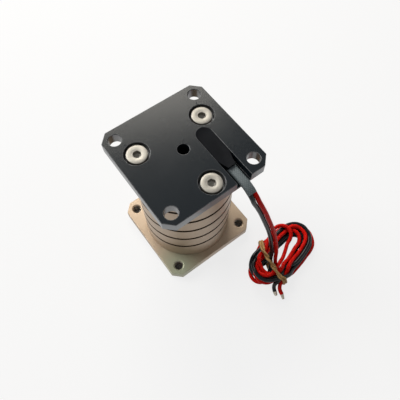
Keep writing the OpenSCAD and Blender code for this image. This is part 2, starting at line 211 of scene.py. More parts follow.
def make_uneven_group():
    group, given, result = start_group(
        "uneven", {"Patch Scale": 150.0, "Grain Scale": 4000.0}, ["Patches", "Grain"])
    place = object_place(group)
    for scale, label, detail in (("Patch Scale", "Patches", 4.0), ("Grain Scale", "Grain", 2.0)):
        size = given.outputs[scale]
        noise = add_node(group, "ShaderNodeTexNoise", Vector=place, Scale=size, Detail=detail)
        spread = add_node(group, "ShaderNodeMapRange", Value=noise.outputs["Fac"], From_Min=0.3, From_Max=0.7)
        group.links.new(spread.outputs["Result"], result.inputs[label])
    return group


def make_tool_marks_group():
    group, given, result = start_group("tool marks", {"Distance": 0.0, "Spacing": 0.0002}, ["Height"])
    count = arithmetic(group, "DIVIDE", given.outputs["Distance"], given.outputs["Spacing"])
    line = add_node(group, "ShaderNodeTexNoise", {"noise_dimensions": "1D"}, W=count, Scale=1.0, Detail=3.0)
    group.links.new(line.outputs["Fac"], result.inputs["Height"])
    return group


uneven_group = make_uneven_group()
tool_marks_group = make_tool_marks_group()


def add_uneven(tree, patch_scale, grain_scale):
    """Masks of soft patches and fine grain."""
    settings = {"node_tree": uneven_group}
    made = add_node(tree, "ShaderNodeGroup", settings, Patch_Scale=patch_scale, Grain_Scale=grain_scale)
    return made.outputs["Patches"], made.outputs["Grain"]


def add_tool_marks(tree, distance, spacing):
    """Height of machining lines across a distance in metres."""
    settings = {"node_tree": tool_marks_group}
    return add_node(tree, "ShaderNodeGroup", settings, Distance=distance, Spacing=spacing).outputs["Height"]


# %% [markdown]
# ## Finishes
#
# The plate is black anodised aluminium, blasted first, so it is satin and a little cold in colour.
# Its edges and drilled holes shine through more. The tube and flange are machined aluminium with a
# pale yellow chromate coat: a soft metal sheen, with a faint green stain at the corner from which the
# bath ran off. The slit was cut by sparks after that, so its walls are dull; their dark brown is
# painted shade, which stands for the shade deep in the narrow slit. The screws are turned stainless
# steel, with rings that catch the light.

# %% Finishes of the plate and screws
def make_anodised():
    made, tree, shader = new_finish("black anodised", 0.38, specular=0.3)
    patches, grain = add_uneven(tree, 90.0, 5200.0)
    tone = mix_colours(tree, patches, colour(0.0050, 0.0085, 0.0120), colour(0.0062, 0.0100, 0.0138))
    paint(tree, shader, tone, between(tree, patches, 0.225, 0.245))
    bump(tree, shader, grain, 0.000003)
    return made


def make_plate_edge():
    made, tree, shader = new_finish("anodised edge", 0.34, metallic=0.35)
    patches = add_uneven(tree, 500.0, 4000.0)[0]
    paint(tree, shader, mix_colours(tree, patches, colour(0.03, 0.033, 0.036), colour(0.12, 0.125, 0.13)))
    return made


def make_marked_metal(name, roughness, metallic, spacing, dark, light):
    """Metal with fine level lines that a cutter left, that far apart in metres."""
    made, tree, shader = new_finish(name, roughness, metallic=metallic)
    marks = add_tool_marks(tree, height_up(tree), spacing)
    paint(tree, shader, mix_colours(tree, marks, dark, light))
    bump(tree, shader, marks, 0.00001)
    return made


def make_turned_steel():
    made, tree, shader = new_finish("turned steel", 0.33, metallic=1.0)
    radius = add_node(tree, "ShaderNodeAttribute", {"attribute_name": "from_axis"}).outputs["Fac"]
    marks = add_tool_marks(tree, radius, 0.00022)
    patches = add_uneven(tree, 400.0, 3000.0)[0]
    tone = mix_colours(tree, marks, colour(0.20, 0.19, 0.165), colour(0.46, 0.44, 0.40))
    paint(tree, shader, tone, between(tree, patches, 0.52, 0.6))
    bump(tree, shader, marks, 0.000012)
    return made


anodised = make_anodised()
plate_edge = make_plate_edge()
milled_side = make_marked_metal(
    "milled side", 0.32, 0.7, 0.0003, colour(0.15, 0.16, 0.17), colour(0.26, 0.27, 0.28))
drilled_wall = make_marked_metal(
    "drilled wall", 0.3, 0.85, 0.00012, colour(0.10, 0.10, 0.105), colour(0.26, 0.26, 0.26))
turned_steel = make_turned_steel()

# %% Finishes of the tube and flange
# Corner from which the bath ran off, and how far from it the stain has faded and is full
RUN_OFF_CORNER = (0.0158, -0.0158, 0.004)
STAIN_FADED, STAIN_FULL = 0.012, 0.003


def make_chromated(name, stained):
    """Chromated aluminium, with that share of green stain near the corner."""
    made, tree, shader = new_finish(name, 0.4, metallic=0.55, specular=0.4)
    patches, grain = add_uneven(tree, 120.0, 2600.0)
    tints = add_uneven(tree, 62.0, 900.0)[0]
    tone = mix_colours(tree, patches, colour(0.43, 0.33, 0.235), colour(0.50, 0.395, 0.295))
    tone = mix_colours(tree, between(tree, grain, 0.0, 0.12), tone, colour(0.30, 0.24, 0.18))
    from_corner = add_node(tree, "ShaderNodeVectorMath", {"operation": "DISTANCE"})
    feed(tree, object_place(tree), from_corner.inputs[0])
    feed(tree, RUN_OFF_CORNER, from_corner.inputs[1])
    distance = from_corner.outputs["Value"]
    near_it = add_node(tree, "ShaderNodeMapRange", Value=distance, From_Min=STAIN_FADED, From_Max=STAIN_FULL)
    strength = between(tree, tints, 0.45 * stained, stained)
    stain = arithmetic(tree, "MULTIPLY", near_it.outputs["Result"], strength)
    tone = mix_colours(tree, stain, tone, colour(0.37, 0.42, 0.30))
    paint(tree, shader, tone, between(tree, patches, 0.38, 0.48))
    bump(tree, shader, add_tool_marks(tree, height_up(tree), 0.00025), 0.00001)
    return made


def make_tapped_wall():
    made, tree, shader = new_finish("tapped wall", 0.4, metallic=0.8)
    patches, grain = add_uneven(tree, 500.0, 3600.0)
    paint(tree, shader, mix_colours(tree, patches, colour(0.50, 0.45, 0.40), colour(0.72, 0.68, 0.62)))
    bump(tree, shader, grain, 0.00002)
    return made


# Dark brown painted shade: the slit's walls and edges are coloured for the shade deep inside the narrow cut
def make_slit_shade_wall():
    made, tree, shader = new_finish("slit wall, painted shade", 0.7, metallic=0.2, specular=0.2)
    grain = add_uneven(tree, 300.0, 2600.0)[1]
    paint(tree, shader, mix_colours(tree, grain, colour(0.045, 0.030, 0.020), colour(0.10, 0.070, 0.045)))
    bump(tree, shader, grain, 0.00002)
    return made


chromated = make_chromated("chromated aluminium", 0.0)
stained = make_chromated("chromated aluminium, stained", 0.9)
slit_shade_wall = make_slit_shade_wall()
tapped_wall = make_tapped_wall()
print("Finishes so far, with the frame's own:", len(bpy.data.materials))

# %% [markdown]
# The leads have extruded insulation, which is smooth and a little waxy. The sleeve is a woven tube
# shrunk over both leads, so it shows a fine diagonal weave. The rubber band is dull and dusty, and
# the tinned strands are a soft grey metal.

# %% Finishes of the leads
def make_insulation(name, dark, light, roughness, specular=0.35):
    made, tree, shader = new_finish(name, roughness, specular=specular)
    patches, grain = add_uneven(tree, 260.0, 3500.0)
    spread = between(tree, grain, roughness - 0.05, roughness + 0.07)
    paint(tree, shader, mix_colours(tree, patches, dark, light), spread)
    bump(tree, shader, patches, 0.00002)
    return made


def make_sleeve_finish():
    made, tree, shader = new_finish("grey sleeve", 0.6)
    weave = []
    for turn in (0.9, -0.9):
        mapping = add_node(tree, "ShaderNodeMapping", Vector=object_place(tree), Rotation=(0.0, 0.0, turn))
        slanted = mapping.outputs["Vector"]
        threads = add_node(tree, "ShaderNodeTexWave", Vector=slanted, Scale=520.0, Distortion=0.6)
        weave.append(threads.outputs["Fac"])
    cloth = arithmetic(tree, "MULTIPLY", *weave)
    tone = mix_colours(tree, cloth, colour(0.085, 0.108, 0.118), colour(0.17, 0.20, 0.21))
    dull = between(tree, add_uneven(tree, 300.0, 3000.0)[0], 0.0, 0.4)
    paint(tree, shader, mix_colours(tree, dull, tone, colour(0.07, 0.085, 0.09)))
    bump(tree, shader, cloth, 0.00006)
    return made


def make_metal(name, dark, light, roughness):
    made, tree, shader = new_finish(name, roughness, metallic=1.0)
    patches, grain = add_uneven(tree, 420.0, 3800.0)
    spread = between(tree, grain, roughness - 0.08, roughness + 0.1)
    paint(tree, shader, mix_colours(tree, patches, dark, light), spread)
    bump(tree, shader, grain, 0.00001)
    return made


red_insulation = make_insulation(
    "red insulation", colour(0.66, 0.008, 0.005), colour(0.82, 0.016, 0.010), 0.2, specular=0.04)
black_insulation = make_insulation(
    "black insulation", colour(0.005, 0.007, 0.009), colour(0.012, 0.015, 0.018), 0.2, specular=0.24)
black_potting = make_insulation(
    "black potting", colour(0.003, 0.0035, 0.005), colour(0.006, 0.007, 0.009), 0.5, specular=0.05)
band_rubber = make_insulation("band rubber", colour(0.46, 0.27, 0.10), colour(0.60, 0.38, 0.16), 0.62)
sleeve_finish = make_sleeve_finish()
tinned = make_metal("tinned strands", colour(0.36, 0.32, 0.26), colour(0.60, 0.56, 0.49), 0.42)

# %% [markdown]
# Inside the tube, nickel, copper and amber tape show only through the slit and the hole in the
# middle of the plate, so they are plainer.

# %% Finishes of the inner pieces
soft_iron = make_metal("plated iron", colour(0.34, 0.33, 0.31), colour(0.46, 0.45, 0.43), 0.34)
bright_nickel = make_metal("bright nickel", colour(0.56, 0.54, 0.50), colour(0.68, 0.66, 0.62), 0.2)
copper = make_metal("enamelled copper", colour(0.48, 0.17, 0.06), colour(0.62, 0.26, 0.10), 0.28)
amber_tape = make_insulation("amber tape", colour(0.40, 0.16, 0.02), colour(0.56, 0.27, 0.05), 0.25)
dark_resin = make_insulation("dark resin", colour(0.03, 0.03, 0.033), colour(0.055, 0.055, 0.06), 0.5)

INNER_FINISHES = {
    "yoke_cup": soft_iron, "pole_piece": soft_iron, "magnet": bright_nickel, "coil_former": dark_resin,
    "coil_winding": copper, "coil_tails": copper, "winding_wrap": amber_tape,
}
for node_name, finish in INNER_FINISHES.items():
    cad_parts[node_name].data.materials.clear()
    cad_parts[node_name].data.materials.append(finish)
print("Inner pieces dressed:", len(INNER_FINISHES))

# %% [markdown]
# ## The leads
#
# Each lead is one cord from end to end: out of the sleeve, down to the floor, round the bundle nearly
# five times, and out again at its tinned end. The falling stretch follows listed points. For
# the turns there is a plan: how wide each turn swings at the near and at the far end of the bundle,
# and how high it lies there. The leads dive under the near end, and one loop of the red lead lies
# slanting on top of the others.

# %% Leads: falling stretch
LEAD_D = 1.6
RED_ROUTE = [
    (23.6, 9.56, 53.36), (24.25, 9.58, 52.95), (25.36, 9.79, 51.75), (26.42, 10.26, 49.51),
    (27.44, 10.96, 47.01), (28.25, 11.66, 44.51), (29.05, 12.36, 42.01), (29.95, 13.06, 39.01),
    (30.85, 13.76, 36.01), (31.65, 14.46, 33.01), (32.45, 15.16, 29.91), (33.15, 15.76, 26.71),
    (33.95, 16.26, 23.31), (34.75, 16.66, 19.81), (35.5, 17.0, 16.3), (36.4, 17.1, 12.8),
    (37.2, 17.0, 9.4), (38.0, 16.7, 6.8),
]
BLACK_ROUTE = [
    (23.6, 7.94, 53.36), (24.25, 7.92, 52.95), (25.19, 8.11, 51.7), (25.88, 8.64, 49.29),
    (26.46, 9.54, 46.79), (27.15, 10.34, 44.29), (27.95, 11.04, 41.79), (28.85, 11.74, 38.79),
    (29.75, 12.44, 35.79), (30.55, 13.14, 32.79), (31.35, 13.84, 29.69), (32.05, 14.44, 26.49),
    (32.85, 14.94, 23.09), (33.65, 15.34, 19.59), (34.5, 15.6, 16.1), (35.4, 15.7, 12.6),
    (36.2, 15.5, 9.2), (36.9, 15.1, 6.7),
]

# %% [markdown]
# Places in the bundle are given along it, across it and up, in millimetres, and turned afterwards to
# lie as it does on the floor. Angles run from the far end, 0, over the right side, 90, to the near
# end, 180, and on.

# %% Leads: plan of the turns
BUNDLE_CENTRE = Vector((36.0, 21.7, 0.0))
BUNDLE_TURN = Matrix.Rotation(math.radians(10), 3, "Z")
NEAR_CENTRE = (-8.5, 1.0)
FIRST_ANGLE, LAST_ANGLE, ANGLE_STEP = 172, 1900, 8

# Radius and height of each pass round the near end
RED_NEAR = [(6.6, 0.9), (6.3, 3.0), (6.3, 3.5), (4.9, 5.6), (5.1, 5.6), (5.9, 4.2)]
BLACK_NEAR = [(5.6, 0.9), (5.0, 3.0), (5.0, 4.3), (6.3, 3.4), (6.3, 5.0), (6.6, 4.0)]
# Radius, centre along and across, and height of each pass round the far end
RED_FAR = [
    (6.5, 8.4, 1.2, 0.9), (7.8, 8.4, 1.2, 0.9), (4.3, 7.4, -1.0, 4.2), (3.4, 6.9, -4.9, 6.0),
    (5.6, 8.4, 0.8, 5.0)]
BLACK_FAR = [
    (5.2, 8.6, 1.6, 0.9), (4.0, 8.8, 2.2, 0.9), (4.6, 8.8, 2.0, 2.6), (7.3, 8.4, 1.0, 2.6),
    (7.0, 8.4, 0.8, 4.8)]
# Where each lead lands and dives under the near end, and where it leaves the bundle
RED_LANDING = [(-6.3, 2.1, 5.1), (-7.2, 3.3, 3.6), (-8.4, 4.5, 2.2), (-10.0, 5.3, 1.2), (-12.0, 5.3, 0.9)]
BLACK_LANDING = [(-7.5, 0.6, 5.0), (-8.3, 1.7, 3.6), (-9.4, 2.8, 2.2), (-10.8, 3.5, 1.2), (-12.3, 3.4, 0.9)]
RED_LEAVING = [
    (-5.0, 7.2, 4.4), (-7.6, 6.8, 4.4), (-9.6, 7.2, 4.0), (-11.0, 8.3, 3.1), (-11.9, 9.5, 2.0),
    (-12.4, 10.6, 1.2), (-12.7, 11.6, 0.85)]
BLACK_LEAVING = [
    (-5.4, 5.6, 4.4), (-8.2, 5.1, 4.5), (-10.3, 5.4, 4.2), (-11.8, 6.3, 3.3), (-12.8, 7.3, 2.1),
    (-13.5, 8.2, 1.2), (-13.9, 8.9, 0.85)]


def mix(first, second, share):
    return first + (second - first) * share


def ease(value):
    value = min(max(value, 0.0), 1.0)
    return value * value * (3 - 2 * value)


def on_floor(along, across, height):
    """Point of the bundle in the frame, in millimetres."""
    return BUNDLE_CENTRE + BUNDLE_TURN @ Vector((across, along, height))


def in_bundle(point):
    """Point of the frame as along, across and up in the bundle."""
    across, along, height = BUNDLE_TURN.inverted() @ (Vector(point) - BUNDLE_CENTRE)
    return along, across, height


def turn_points(near_passes, far_passes):
    """All turns of one lead as planned."""
    points = []
    for angle in range(FIRST_ANGLE, LAST_ANGLE, ANGLE_STEP):
        past_near = (angle - 180) / 360
        near_radius, near_height = near_passes[round(past_near)]
        far_radius, far_along, far_across, far_height = far_passes[max(int(past_near), 0)]
        forward, sideways = math.cos(math.radians(angle)), math.sin(math.radians(angle))
        far = ease((1 + forward) / 2)
        radius = mix(near_radius, far_radius, far)
        along = mix(NEAR_CENTRE[0], far_along, far) + radius * forward
        across = mix(NEAR_CENTRE[1], far_across, far) + radius * sideways
        points.append((along, across, mix(near_height, far_height, far)))
    return points


print("Turns of each lead:", round((LAST_ANGLE - FIRST_ANGLE) / 360, 1))

# %% [markdown]
# A smooth curve through points carries a round section. It is turned into a mesh, because the upper
# stretch of a lead has to flex with the plate. The bare curve is sampled as well: that is the centre
# line along which a lead's length is measured.

# %% Tubes along smooth curves
def smooth_curve(name, points, radius, closed=False, steps=5):
    """Curve object through the points, with a round section."""
    data = bpy.data.curves.new(name, "CURVE")
    data.dimensions = "3D"
    data.resolution_u = steps
    data.bevel_depth = radius
    data.bevel_resolution = 5
    data.use_fill_caps = not closed
    spline = data.splines.new("BEZIER")
    spline.bezier_points.add(len(points) - 1)
    spline.use_cyclic_u = closed
    for handle, point in zip(spline.bezier_points, points):
        handle.co = point
        handle.handle_left_type = "AUTO"
        handle.handle_right_type = "AUTO"
    made = bpy.data.objects.new(name, data)
    bpy.context.collection.objects.link(made)
    return made


def evaluated_mesh(made):
    graph = bpy.context.evaluated_depsgraph_get()
    finished = made.evaluated_get(graph)
    return bpy.data.meshes.new_from_object(finished, preserve_all_data_layers=True, depsgraph=graph)


def tube_mesh(name, points, radius, closed=False, steps=5):
    """Mesh of a round tube along a smooth curve, and the points of its centre line."""
    curve = smooth_curve(name + "_line", points, radius, closed, steps)
    tube = evaluated_mesh(curve)
    curve.data.bevel_depth = 0
    bpy.context.view_layer.update()
    line = evaluated_mesh(curve)
    centre = [v.co.copy() for v in line.vertices]
    bpy.data.meshes.remove(line)
    bpy.data.objects.remove(curve)
    tube.shade_smooth()
    return tube, centre


def length_of(points):
    return sum((b - a).length for a, b in zip(points, points[1:]))


def link_piece(name, mesh, finish):
    made = bpy.data.objects.new(name, mesh)
    mesh.name = name
    mesh.materials.clear()
    mesh.materials.append(finish)
    bpy.context.collection.objects.link(made)
    return made


# %% [markdown]
# The plan lets strands overlap, as no plan of a tangle is exact. So they are settled like real ones:
# strands that overlap push each other apart, a bend that is too tight opens, their weight draws them
# down, and the floor holds them up, and the band where they lie on it. A few hundred rounds of such
# small moves leave strands that touch rather than cut through each other.

# %% Leads: settling the strands
# Distance between a lead's points, least distance between two strands and radius to which bends open
SPACING, CLEAR, OPEN_BEND = 1.0, 1.68, 4.4
# All rounds, the last ones without weight and pull, bend steps in each, and rounds between searches
ROUNDS, FREE_ROUNDS, BEND_ROUNDS, PAIR_ROUNDS = 480, 160, 16, 6
# Height below which strands settle, and length of lead within which points don't push each other
SETTLE_BELOW, SAME_STRAND = 11.0, 4.5
# How much farther than CLEAR pairs are looked for, and what moves a strand in each round
SEARCH, PUSH, MOST_PUSH, PULL, WEIGHT = 1.0, 0.3, 0.3, 0.006, 0.01
# How strongly one step opens a tight bend, and evens out distances
OPENING, EVENING = 0.4, 0.25
BAND_D = 0.95
# How far from the band the strands begin to rise onto it, and over what length they do
RISE_FROM, RISE_RUN = 4.0, 3.2
BAND_PLAN = np.array([
    (-1.6, -8.8), (-4.3, -6.4), (-7.0, -3.8), (-9.0, -1.0), (-10.0, 2.0), (-10.3, 4.9), (-9.8, 7.6),
    (-9.0, 9.6)])


def lengths(steps):
    return np.linalg.norm(steps, axis=1, keepdims=True) + 1e-9


def evenly(points):
    """The same line with points one spacing apart."""
    points = np.array(points)
    travel = np.concatenate([[0.0], np.cumsum(lengths(np.diff(points, axis=0)))])
    places = np.linspace(0, travel[-1], round(travel[-1] / SPACING) + 1)
    return np.column_stack([np.interp(places, travel, points[:, axis]) for axis in range(3)])


def planned_lead(route, landing, near_passes, far_passes, leaving):
    """Points of a whole lead as planned, in the bundle's own directions."""
    points = [in_bundle(p) for p in route] + landing + turn_points(near_passes, far_passes) + leaving
    plan, line = tube_mesh("plan", points, 0.0)
    bpy.data.meshes.remove(plan)
    return evenly(line)


def band_along(across):
    """Where the band lies along the bundle, at that place across it."""
    return np.interp(across, BAND_PLAN[:, 1], BAND_PLAN[:, 0])


def lowest(points):
    """Least height for each point: on the floor, or on the band that lies on it."""
    away = np.abs(points[:, 0] - band_along(points[:, 1]))
    lift = np.clip((RISE_FROM - away) / RISE_RUN, 0, 1)
    return LEAD_D / 2 + BAND_D * lift * lift * (3 - 2 * lift)


def open_bends(points, loose):
    """Straightens what is bent too tightly, a little."""
    middle = (points[:-2] + points[2:]) / 2 - points[1:-1]
    excess = OPENING * middle * np.maximum(0, 1 - SPACING ** 2 / (2 * OPEN_BEND) / lengths(middle))
    points[1:-1] += excess * loose[1:-1]
    points[:-2] -= excess / 2 * loose[:-2]
    points[2:] -= excess / 2 * loose[2:]


def even_out(points, loose):
    """Brings the distances between a lead's points closer to their mean."""
    step = np.diff(points, axis=0)
    slack = EVENING * step * (1 - lengths(step).mean() / lengths(step))
    points[:-1] += slack * loose[:-1]
    points[1:] -= slack * loose[1:]


def near_pairs(points, lead, number):
    """Pairs of points that may touch, without neighbours on one lead."""
    gaps = np.linalg.norm(points[:, None] - points[None], axis=2)
    steps_apart = np.abs(number[:, None] - number[None])
    neighbours = (lead[:, None] == lead[None]) & (steps_apart < SAME_STRAND / SPACING)
    return np.nonzero(np.triu((gaps < CLEAR + SEARCH) & ~neighbours, 1))


def pushes(points, pairs):
    """Moves that part the pairs which are too close."""
    first, second = pairs
    gap = points[first] - points[second]
    push = PUSH * gap / lengths(gap) * np.maximum(0, CLEAR - lengths(gap))
    move = np.zeros_like(points)
    np.add.at(move, first, push)
    np.subtract.at(move, second, push)
    return move * np.minimum(1, MOST_PUSH / lengths(move))


def settle_strands(leads):
    """The leads after many rounds of small moves."""
    points = np.vstack(leads)
    sizes = [len(lead) for lead in leads]
    ends = np.cumsum(sizes)
    parts = [slice(end - size, end) for end, size in zip(ends, sizes)]
    lead = np.repeat(np.arange(len(leads)), sizes)
    number = np.concatenate([np.arange(size) for size in sizes])
    loose = (points[:, 2:] < SETTLE_BELOW).astype(float)
    for end in ends:
        loose[end - 3:end] = 0
    planned = points.copy()
    for turn in range(ROUNDS):
        if turn % PAIR_ROUNDS == 0:
            pairs = near_pairs(points, lead, number)
        move = pushes(points, pairs)
        if turn < ROUNDS - FREE_ROUNDS:
            move += PULL * (planned - points)
            move[:, 2] -= WEIGHT
        points += move * loose
        for part in parts:
            for again in range(BEND_ROUNDS):
                open_bends(points[part], loose[part])
            even_out(points[part], loose[part])
        points[:, 2] += np.maximum(0, lowest(points) - points[:, 2]) * loose[:, 0]
    return [points[part] for part in parts]


red_plan = planned_lead(RED_ROUTE, RED_LANDING, RED_NEAR, RED_FAR, RED_LEAVING)
black_plan = planned_lead(BLACK_ROUTE, BLACK_LANDING, BLACK_NEAR, BLACK_FAR, BLACK_LEAVING)
red_strand, black_strand = settle_strands([red_plan, black_plan])
print("Points of both leads:", len(red_strand) + len(black_strand))

# %% Leads: tubes
def lead_tube(name, strand):
    return tube_mesh(name, [on_floor(*p) * MM for p in strand], LEAD_D / 2 * MM, steps=2)


red_tube, red_line = lead_tube("red_wire", red_strand)
black_tube, black_line = lead_tube("black_wire", black_strand)
red_wire = link_piece("red_wire", red_tube, red_insulation)
black_wire = link_piece("black_wire", black_tube, black_insulation)
print("Leads:", round(length_of(red_line), 4), "and", round(length_of(black_line), 4), "m long")

# %% [markdown]
# ## The tinned ends
#
# The last millimetres of each lead are stripped, twisted and dipped in solder. A few thin strands
# wound round a common line, drawn together towards the tip, show that better than one rod.

# %% Tinned ends
STRANDS, STRAND_R = 6, 0.24
TWISTS, TWIST_STEPS = 1.5, 8


def twisted_end(name, start, end, root, tip):
    """Strands wound round the line from start to end, at a distance that shrinks from root to tip."""
    line = end - start
    across = line.orthogonal().normalized()
    joined = bmesh.new()
    for strand in range(STRANDS):
        points = []
        for step in range(TWIST_STEPS + 1):
            share = step / TWIST_STEPS
            turn = Matrix.Rotation(math.tau * (strand / STRANDS + TWISTS * share), 3, line)
            points.append(start + line * share + turn @ across * mix(root, tip, share))
        tube = tube_mesh(name, points, STRAND_R * MM)[0]
        joined.from_mesh(tube)
        bpy.data.meshes.remove(tube)
    mesh = bpy.data.meshes.new(name)
    joined.to_mesh(mesh)
    joined.free()
    mesh.shade_smooth()
    return link_piece(name, mesh, tinned)


RED_TIP, BLACK_TIP = Vector((51.4, 10.4, 0.7)) * MM, Vector((48.6, 9.0, 0.8)) * MM
red_end = twisted_end("red_tinned_end", red_line[-1], RED_TIP, 0.50 * MM, 0.28 * MM)
black_end = twisted_end("black_tinned_end", black_line[-1], BLACK_TIP, 0.60 * MM, 0.36 * MM)
print("Tinned ends:", STRANDS, "strands each")

# %% [markdown]
# ## The rubber band
#
# The band goes round the whole bundle and is taut, so it takes the shortest way round the strands that
# it crosses: in every direction it touches the strand that lies farthest out. Its ends swing forward,
# because the falling leads hold back its middle. It is wound twice, and on top of the bundle its two
# rounds are twisted about each other.

# %% Rubber band
HALF_TWISTS, TWIST_START, TWIST_RUN = 3, 0.08, 0.36
BAND_DIRECTIONS = 73
# Strands that the band crosses lie this close to its plan, and below the falling stretch
BAND_REACH, BAND_BELOW = 1.0, 6.5


def taut_loop(strands):
    """Shortest way round the strands that the band crosses, from the right over the top."""
    away = np.abs(strands[:, 0] - band_along(strands[:, 1]))
    section = strands[(away < BAND_REACH) & (strands[:, 2] < BAND_BELOW)][:, 1:]
    loop = []
    for angle in np.linspace(0, math.tau, BAND_DIRECTIONS):
        outwards = np.array((math.cos(angle), math.sin(angle)))
        across, height = section[np.argmax(section @ outwards)] + outwards * (LEAD_D + BAND_D) / 2
        loop.append((band_along(across), across, max(height, BAND_D / 2)))
    return evenly(loop)[:-1]


def band_points(loop):
    """Centre line of a band that goes round the loop twice, twisted on its upper side."""
    points = []
    middle = loop.mean(axis=0)
    for step in range(2 * len(loop)):
        lap, share = divmod(step / len(loop), 1)
        place = loop[step % len(loop)]
        ahead = loop[(step + 1) % len(loop)] - loop[step % len(loop) - 1]
        twist = math.pi * HALF_TWISTS * (ease((share - TWIST_START) / TWIST_RUN) + lap)
        rise = BAND_D / 2 * (math.sin(twist) + abs(math.sin(twist)))
        outwards = (place - middle) / np.linalg.norm(place - middle)
        sideways = np.cross(outwards, ahead)
        sideways *= BAND_D / 2 * math.cos(twist) / np.linalg.norm(sideways)
        along, across, height = place + outwards * rise + sideways
        points.append(on_floor(along, across, max(height, BAND_D / 2)) * MM)
    return points


band_loop = taut_loop(np.vstack([red_strand, black_strand]))
band_tube = tube_mesh("rubber_band_loop", band_points(band_loop), BAND_D / 2 * MM, closed=True, steps=3)[0]
band = link_piece("rubber_band_loop", band_tube, band_rubber)
print("Band:", round(len(band_loop) * SPACING), "mm round the bundle")

# %% [markdown]
# ## Solids with soft edges
#
# Turned and milled pieces are drawn in millimetres as simple blocks, drilled with Boolean tools and
# then given a small bevel, because no real edge is perfectly sharp and it is the edges that catch
# the light.

# %% Helpers for solids
def piece_from(bm, name, *finishes):
    """Object in metres from a bmesh that was drawn in millimetres."""
    bmesh.ops.remove_doubles(bm, verts=bm.verts, dist=0.0001)
    bmesh.ops.recalc_face_normals(bm, faces=bm.faces)
    bmesh.ops.scale(bm, vec=(MM, MM, MM), verts=bm.verts)
    mesh = bpy.data.meshes.new(name)
    bm.to_mesh(mesh)
    bm.free()
    made = bpy.data.objects.new(name, mesh)
    for finish in finishes:
        mesh.materials.append(finish)
    bpy.context.collection.objects.link(made)
    return made


def settle(piece):
    """Replaces a piece's mesh by what its modifiers make of it."""
    mesh = evaluated_mesh(piece)
    piece.modifiers.clear()
    old = piece.data
    piece.data = mesh
    bpy.data.meshes.remove(old)
    mesh.name = piece.name


def carve(piece, tools, operation="DIFFERENCE"):
    """Cuts the tools out of a piece, or joins them to it, and removes them."""
    for tool in tools:
        cut = piece.modifiers.new("cut", "BOOLEAN")
        cut.operation = operation
        cut.object = tool
        cut.solver = "EXACT"
        cut.material_mode = "TRANSFER"
    settle(piece)
    for tool in tools:
        bpy.data.objects.remove(tool)


def soften(piece, width, edge_finish=-1, angle=35):
    """Bevels all sharp edges and keeps the flat faces flat."""
    bevel = piece.modifiers.new("soft edges", "BEVEL")
    bevel.width = width * MM
    bevel.segments = 2
    bevel.limit_method = "ANGLE"
    bevel.angle_limit = math.radians(angle)
    bevel.use_clamp_overlap = False
    bevel.material = edge_finish
    settle(piece)
    piece.data.shade_smooth()
    piece.data.set_sharp_from_angle(angle=math.radians(50))
    flat = piece.modifiers.new("flat faces", "WEIGHTED_NORMAL")
    flat.keep_sharp = True
    settle(piece)


def rod(radius, low, high, at=(0.0, 0.0), segments=64, finish=None, top_radius=None):
    """Round tool or solid between two heights."""
    bm = bmesh.new()
    bmesh.ops.create_cone(
        bm, cap_ends=True, segments=segments, radius1=radius,
        radius2=radius if top_radius is None else top_radius, depth=high - low)
    bmesh.ops.translate(bm, vec=(at[0], at[1], (low + high) / 2), verts=bm.verts)
    return piece_from(bm, "rod", *([finish] if finish else []))


def block(low, high, finish=None):
    """Box between two corners."""
    bm = bmesh.new()
    bmesh.ops.create_cube(bm, size=1.0)
    bmesh.ops.scale(bm, vec=[b - a for a, b in zip(low, high)], verts=bm.verts)
    bmesh.ops.translate(bm, vec=[(a + b) / 2 for a, b in zip(low, high)], verts=bm.verts)
    return piece_from(bm, "block", *([finish] if finish else []))


def prism(outline, low, high, finish):
    """Upright solid over an outline of points in the plane."""
    bm = bmesh.new()
    base = bm.faces.new([bm.verts.new((x, y, low)) for x, y in outline])
    top = bmesh.ops.extrude_face_region(bm, geom=[base])["geom"]
    lifted = [v for v in top if isinstance(v, bmesh.types.BMVert)]
    bmesh.ops.translate(bm, vec=(0, 0, high - low), verts=lifted)
    return piece_from(bm, "prism", finish)


def cut_corner_plate(name, size, chamfer, low, high, *finishes):
    """Square plate with its four upright edges cut off."""
    bm = bmesh.new()
    bmesh.ops.create_cube(bm, size=1.0)
    bmesh.ops.scale(bm, vec=(size, size, high - low), verts=bm.verts)
    bmesh.ops.translate(bm, vec=(0, 0, (low + high) / 2), verts=bm.verts)
    upright = [e for e in bm.edges if abs(e.verts[0].co.z - e.verts[1].co.z) > 1]
    bmesh.ops.bevel(bm, geom=upright, offset=chamfer, affect="EDGES", segments=1, profile=0.5, material=-1)
    for face in bm.faces:
        face.material_index = len(finishes) - 1 if abs(face.normal.z) < 0.5 else 0
    return piece_from(bm, name, *finishes)


def around(radius, angles):
    return [(radius * math.cos(math.radians(a)), radius * math.sin(math.radians(a))) for a in angles]


# %% [markdown]
# ## The coil plate
#
# Its sizes come from the frame where they can be read there; the hole pattern is named here. Tools
# reach a millimetre past the surface that they cut.

# %% Coil plate
HOLE_PITCH = 31.5
CORNERS = [(x * HOLE_PITCH / 2, y * HOLE_PITCH / 2) for x in (-1, 1) for y in (-1, 1)]
SCREW_CIRCLE = 14.75
SCREW_PLACES = around(SCREW_CIRCLE, (0, 120, 240))
HOLE_R, COUNTERBORE_R, COUNTERBORE_H = 2.25, 4.25, 3.1
SPIGOT_R, MIDDLE_HOLE_R, TAIL_HOLE_R = 7.48, 2.0, 1.6
SLOT_Y, SLOT_END_X, SLOT_W, SLOT_H = 8.75, -0.5, 5.7, 3.0
PAST = 1.0

plate_low, plate_high = (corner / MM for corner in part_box("coil_plate"))
flange_low, flange_high = (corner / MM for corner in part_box("base_flange"))
spring_low, spring_high = (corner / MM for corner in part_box("machined_spring"))
PLATE_TOP, PLATE_BOTTOM = plate_high.z, spring_high.z
PLATE_SIZE = plate_high.x - plate_low.x
SLOT_FLOOR = PLATE_TOP - SLOT_H
SEAT = PLATE_TOP - COUNTERBORE_H
PLATE_CHAMFER, FLANGE_CHAMFER = 3.1, 3.3


